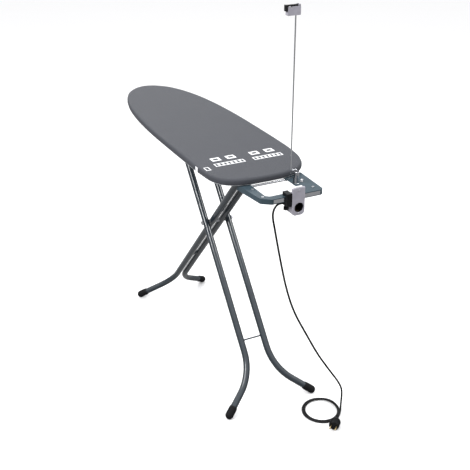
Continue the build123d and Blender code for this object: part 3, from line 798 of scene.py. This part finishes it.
class IRONING_OT_strain_relief(bpy.types.Operator):
    """Make the tapered ribbed sleeve where the lead leaves the housing."""

    bl_idname = "ironing.strain_relief"
    bl_label = "Strain relief"

    LENGTH = 0.024
    RIBS = 6
    FIRST_RIB = 0.003
    RIB_HEIGHT = 0.0005
    WALL = 0.0009
    TIP_GAP = 0.0007
    HEADING = (0.01, -1, -0.06)

    def execute(self, context):
        radius = (GLAND_HIGH.x - GLAND_LOW.x) / 2
        tip = sizes().lead_diameter / 2 + self.TIP_GAP
        profile = [(0.0, tip - self.WALL), (0.0, radius)]
        for rib in range(self.RIBS):
            along = self.FIRST_RIB + rib * (self.LENGTH - self.FIRST_RIB) / self.RIBS
            outer = radius + (tip - radius) * rib / (self.RIBS - 1)
            groove = outer - self.RIB_HEIGHT
            profile += [(along, outer), (along + 0.0016, outer)]
            profile += [(along + 0.0020, groove), (along + 0.0031, groove)]
        profile += [(self.LENGTH, tip - 0.0002), (self.LENGTH, tip - self.WALL)]
        shape = turned(profile, 24)
        start = Vector((LEAD_ROUTE[0][0], GLAND_HIGH.y, LEAD_ROUTE[0][2]))
        bmesh.ops.transform(shape, matrix=aimed(start, self.HEADING), verts=shape.verts)
        relief = piece_from(shape, "strain_relief", "black_plastic", "table")
        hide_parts("cord_gland")
        return {"FINISHED"}


class IRONING_OT_lead(bpy.types.Operator):
    """Lay the supply lead from the housing down to its coil and plug."""

    bl_idname = "ironing.lead"
    bl_label = "Lead"

    LENGTH = 1.84
    OUTER_TURN = 0.0700
    INNER_TURN = 0.0628
    CLIMB = 0.0068
    MOVES_INWARD = (0.68, 1.0)
    CLIMBS = (COIL_TURNS - 0.45, COIL_TURNS - 0.15)

    def coil_points(self):
        """Two turns side by side: round the outside, in to the inside, then up to the tail."""
        resting = sizes().lead_diameter / 2 + CLEARANCE
        count = int(COIL_TURNS * POINTS_PER_TURN)
        for step in range(count):
            turns = step / POINTS_PER_TURN
            inward = eased(turns, *self.MOVES_INWARD)
            climb = eased(turns, *self.CLIMBS)
            angle = COIL_START_ANGLE - 2 * pi * turns
            radius = self.OUTER_TURN + (self.INNER_TURN - self.OUTER_TURN) * inward
            yield COIL_CENTRE + Vector(
                (radius * cos(angle), radius * sin(angle), resting + self.CLIMB * climb)
            )

    def execute(self, context):
        route = [Vector(point) for point in LEAD_ROUTE]
        route += list(self.coil_points())
        route += [Vector(point) for point in TAIL_ROUTE]
        curve = bpy.data.curves.new("supply_lead", "CURVE")
        curve.dimensions = "3D"
        curve.bevel_depth = sizes().lead_diameter / 2
        curve.bevel_resolution = 4
        curve.resolution_u = 8
        spline = curve.splines.new("NURBS")
        spline.points.add(len(route) - 1)
        for point, place in zip(spline.points, route):
            point.co = (*place, 1)
        spline.order_u = 3
        spline.use_endpoint_u = True
        lead = bpy.data.objects.new("supply_lead", curve)
        bpy.context.scene.collection.objects.link(lead)
        curve.materials.append(finish("lead_pvc"))
        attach(lead, "table")
        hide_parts("lead", "lead_tail", "lead_coil")
        return {"FINISHED"}


class IRONING_OT_screws(bpy.types.Operator):
    """Put the pan-head screws in the face of the socket plate."""

    bl_idname = "ironing.screws"
    bl_label = "Plate screws"

    HEAD = [(0.0, 0.0), (0.0, 0.0030), (0.0007, 0.0030), (0.0013, 0.0024), (0.0016, 0.0012), (0.0016, 0.0)]
    SUNK = 0.0001
    LOWER_INSET = 0.007
    UPPER_INSET = 0.009

    def execute(self, context):
        middle = (PLATE_LOW.y + PLATE_HIGH.y) / 2
        shape = bmesh.new()
        for height in (PLATE_LOW.z + self.LOWER_INSET, PLATE_HIGH.z - self.UPPER_INSET):
            head = turned(self.HEAD, 20)
            place = aimed((PLATE_HIGH.x - self.SUNK, middle, height), (1, 0, 0))
            bmesh.ops.transform(head, matrix=place, verts=head.verts)
            join_into(shape, head)
        piece_from(shape, "plate_screws", "zinc_steel", "table")
        return {"FINISHED"}


class IRONING_OT_slider(bpy.types.Operator):
    """Make the pale slide bar on the top of the socket plate."""

    bl_idname = "ironing.slider"
    bl_label = "Slide bar"

    DEPTH = 0.007
    HEIGHT = 0.0045
    WIDTH_SHARE = 0.58
    SETBACK = 0.001
    EDGE_SHARE = 0.3

    def execute(self, context):
        width = (PLATE_HIGH.y - PLATE_LOW.y) * self.WIDTH_SHARE
        middle = Vector(
            (
                (PLATE_LOW.x + PLATE_HIGH.x) / 2 - self.SETBACK,
                (PLATE_LOW.y + PLATE_HIGH.y) / 2,
                PLATE_HIGH.z + self.HEIGHT / 2,
            )
        )
        shape = bmesh.new()
        place = Matrix.Translation(middle) @ Matrix.Diagonal((self.DEPTH, width, self.HEIGHT, 1))
        bmesh.ops.create_cube(shape, size=1, matrix=place)
        round_edges(shape, shape.edges[:], self.HEIGHT * self.EDGE_SHARE, 4)
        piece_from(shape, "slide_bar", "pale_plastic", "table")
        return {"FINISHED"}


class IRONING_OT_sleeve(bpy.types.Operator):
    """Slip the chromed sleeve with rolled ends over the foot of the mast's bush."""

    bl_idname = "ironing.sleeve"
    bl_label = "Mast sleeve"

    RISE = 0.042
    WALL = 0.0012
    LIP = 0.0008

    def execute(self, context):
        low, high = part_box("mast_bush")
        inner = (high.x - low.x) / 2 + CLEARANCE
        outer = inner + self.WALL
        lip = outer + self.LIP
        top = self.RISE
        profile = [
            (0.0, inner),
            (0.0, lip),
            (0.0016, lip),
            (0.0024, outer),
            (top - 0.0024, outer),
            (top - 0.0016, lip),
            (top - 0.0004, lip - 0.0004),
            (top, outer),
            (top, inner),
        ]
        shape = turned(profile + profile[:1], 40)
        tray_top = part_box("tray")[1].z
        foot = Vector(((low.x + high.x) / 2, (low.y + high.y) / 2, tray_top + CLEARANCE))
        bmesh.ops.transform(shape, matrix=aimed(foot, (0, 0, 1)), verts=shape.verts)
        piece_from(shape, "mast_sleeve", "bright_steel", "table")
        return {"FINISHED"}


class IRONING_OT_welds(bpy.types.Operator):
    """Run the weld beads round the ends of the tie and the brace between the legs."""

    bl_idname = "ironing.welds"
    bl_label = "Weld beads"

    BEAD = 0.0013
    WAVES = 14
    WAVE_SHARE = 0.03

    def ring(self, shape, node, side):
        """A rippled bead round one end of a cross piece."""
        low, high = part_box(node)
        radius = (high.z - low.z) / 2
        end = Vector(((low.x + high.x) / 2, high.y if side > 0 else low.y, (low.z + high.z) / 2))
        inner = radius * 0.9
        profile = [
            (-self.BEAD * 1.6, inner),
            (-self.BEAD * 1.4, radius + self.BEAD * 0.5),
            (-self.BEAD * 0.4, radius + self.BEAD),
            (0.0, radius + self.BEAD * 0.9),
            (0.0, inner),
        ]
        bead = turned(profile + profile[:1], self.WAVES * 4)
        for vert in bead.verts:
            turn = vert.co.xy.angle_signed(Vector((1, 0)), 0)
            vert.co.xy *= 1 + self.WAVE_SHARE * sin(self.WAVES * turn)
        bmesh.ops.transform(bead, matrix=aimed(end, (0, side, 0)), verts=bead.verts)
        join_into(shape, bead)

    def execute(self, context):
        for node, body in (("inner_tie", "inner_legs"), ("outer_brace", "outer_legs")):
            shape = bmesh.new()
            for side in (-1, 1):
                self.ring(shape, node, side)
            piece_from(shape, node + "_welds", "frame_paint", body)
        return {"FINISHED"}


class IRONING_OT_finishes(bpy.types.Operator):
    """Give every CAD part the finish of its material slot."""

    bl_idname = "ironing.finishes"
    bl_label = "Finishes"

    def execute(self, context):
        for part in frame["record"]["subparts"]:
            mesh = frame["nodes"][part["node"]].data
            mesh.materials.clear()
            mesh.materials.append(finish(part["material_slot"]))
        return {"FINISHED"}


class IRONING_OT_stage(bpy.types.Operator):
    """Set the camera, the pale floor and the soft studio light."""

    bl_idname = "ironing.stage"
    bl_label = "Stage"

    AZIMUTH = radians(63.49)
    ELEVATION = radians(26.43)
    TARGET = Vector((0.372, -0.063, 0.646))
    DISTANCE = 2.9
    LENS = 62.8
    SENSOR = 36
    FARTHEST = 100
    LOW_SKY = 0.35
    HIGH_SKY = 1.25
    SKY_RISES = (0.05, 0.60)
    FLOOR_HALF_WIDTH = 30
    FLOOR_ROUGHNESS = 0.32
    FLOOR_COLOUR = (0.93, 0.93, 0.94, 1)
    FLOOR_IN_GLOSS = (0.22, 0.22, 0.22, 1)
    LIT_POINT = Vector((0, 0, 0.6))
    LIGHTS = [
        ("key", (0.6, -2.6, 3.0), 1.6, 70),
        ("fill", (1.6, 1.9, 2.8), 1.0, 40),
        ("rim", (-2.6, 0.6, 2.6), 1.6, 30),
        ("leg streak", (1.1, -2.6, 2.2), 0.5, 22),
    ]

    def camera(self):
        back = Vector(
            (
                sin(self.AZIMUTH) * cos(self.ELEVATION),
                -cos(self.AZIMUTH) * cos(self.ELEVATION),
                sin(self.ELEVATION),
            )
        )
        data = bpy.data.cameras.new("Camera")
        data.lens = self.LENS
        data.sensor_width = self.SENSOR
        data.clip_end = self.FARTHEST
        camera = bpy.data.objects.new("Camera", data)
        camera.location = self.TARGET + back * self.DISTANCE
        camera.rotation_euler = back.to_track_quat("Z", "Y").to_euler()
        bpy.context.scene.collection.objects.link(camera)
        bpy.context.scene.camera = camera

    def floor(self):
        """A floor that the camera sees as pale, and that gloss on the object mirrors as grey."""
        shape = bmesh.new()
        bmesh.ops.create_grid(shape, x_segments=2, y_segments=2, size=self.FLOOR_HALF_WIDTH)
        mesh = bpy.data.meshes.new("studio_floor")
        shape.to_mesh(mesh)
        shape.free()
        floor = bpy.data.objects.new("studio_floor", mesh)
        bpy.context.scene.collection.objects.link(floor)
        material, tree, shader = start_finish("studio_floor", Roughness=self.FLOOR_ROUGHNESS)
        seen = add_node(tree, "ShaderNodeLightPath")
        mix = add_node(tree, "ShaderNodeMix", {"data_type": "RGBA"}, Factor=seen.outputs["Is Camera Ray"])
        mix.inputs[COLOUR_A].default_value = self.FLOOR_IN_GLOSS
        mix.inputs[COLOUR_B].default_value = self.FLOOR_COLOUR
        tree.links.new(mix.outputs[COLOUR_RESULT], shader.inputs["Base Color"])
        mesh.materials.append(material)

    def soft_light(self, name, place, width, power):
        """A square lamp, a width across, that faces the object."""
        data = bpy.data.lights.new(name, "AREA")
        data.shape = "RECTANGLE"
        data.size = width
        data.size_y = width
        data.energy = power
        light = bpy.data.objects.new(name, data)
        light.location = place
        away = Vector(place) - self.LIT_POINT
        light.rotation_euler = away.to_track_quat("Z", "Y").to_euler()
        bpy.context.scene.collection.objects.link(light)

    def studio_sky(self):
        """Plain white behind the object, and bright overhead but dim low down for its gloss."""
        world = bpy.data.worlds.new("Studio")
        world.use_nodes = True
        tree = world.node_tree
        heading = add_node(tree, "ShaderNodeTexCoord")
        split = add_node(tree, "ShaderNodeSeparateXYZ", Vector=heading.outputs["Generated"])
        smooth = {"interpolation_type": "SMOOTHSTEP"}
        height = add_node(tree, "ShaderNodeMapRange", smooth, Value=split.outputs["Z"])
        height.inputs["From Min"].default_value = self.SKY_RISES[0]
        height.inputs["From Max"].default_value = self.SKY_RISES[1]
        height.inputs["To Min"].default_value = self.LOW_SKY
        height.inputs["To Max"].default_value = self.HIGH_SKY
        seen = add_node(tree, "ShaderNodeLightPath")
        mix = add_node(tree, "ShaderNodeMix", Factor=seen.outputs["Is Camera Ray"])
        tree.links.new(height.outputs[0], mix.inputs[VALUE_A])
        mix.inputs[VALUE_B].default_value = 1.0
        tree.links.new(mix.outputs[VALUE_RESULT], tree.nodes["Background"].inputs["Strength"])
        tree.nodes["Background"].inputs["Color"].default_value = (1, 1, 1, 1)
        return world

    def execute(self, context):
        self.camera()
        self.floor()
        bpy.context.scene.world = self.studio_sky()
        bpy.context.scene.view_settings.view_transform = "Standard"
        for light in self.LIGHTS:
            self.soft_light(*light)
        return {"FINISHED"}


class IRONING_PT_panel(bpy.types.Panel):
    """Lists the board's sizes, its colours and the pieces that can be made."""

    bl_idname = "IRONING_PT_panel"
    bl_label = "Ironing board"
    bl_space_type = "VIEW_3D"
    bl_region_type = "UI"
    bl_category = "Ironing board"

    def draw(self, context):
        for group in (context.scene.board_sizes, context.scene.board_colours):
            for name in group.__annotations__:
                self.layout.prop(group, name)
        for operator in OPERATORS:
            self.layout.operator(operator.bl_idname)


OPERATORS = [
    IRONING_OT_stage,
    IRONING_OT_strain_relief,
    IRONING_OT_plug,
    IRONING_OT_lead,
    IRONING_OT_cover,
    IRONING_OT_pad,
    IRONING_OT_marks,
    IRONING_OT_tag,
    IRONING_OT_screws,
    IRONING_OT_slider,
    IRONING_OT_sleeve,
    IRONING_OT_welds,
    IRONING_OT_finishes,
]
CLASSES = [BoardSizes, BoardColours, *OPERATORS, IRONING_PT_panel]


def register():
    for kind in CLASSES:
        bpy.utils.register_class(kind)
    bpy.types.Scene.board_sizes = PointerProperty(type=BoardSizes)
    bpy.types.Scene.board_colours = PointerProperty(type=BoardColours)


def unregister():
    del bpy.types.Scene.board_colours
    del bpy.types.Scene.board_sizes
    for kind in reversed(CLASSES):
        bpy.utils.unregister_class(kind)


def main():
    register()
    for operator in OPERATORS:
        getattr(bpy.ops.ironing, operator.bl_idname.split(".")[1])()


if __name__ == "__main__":
    main()
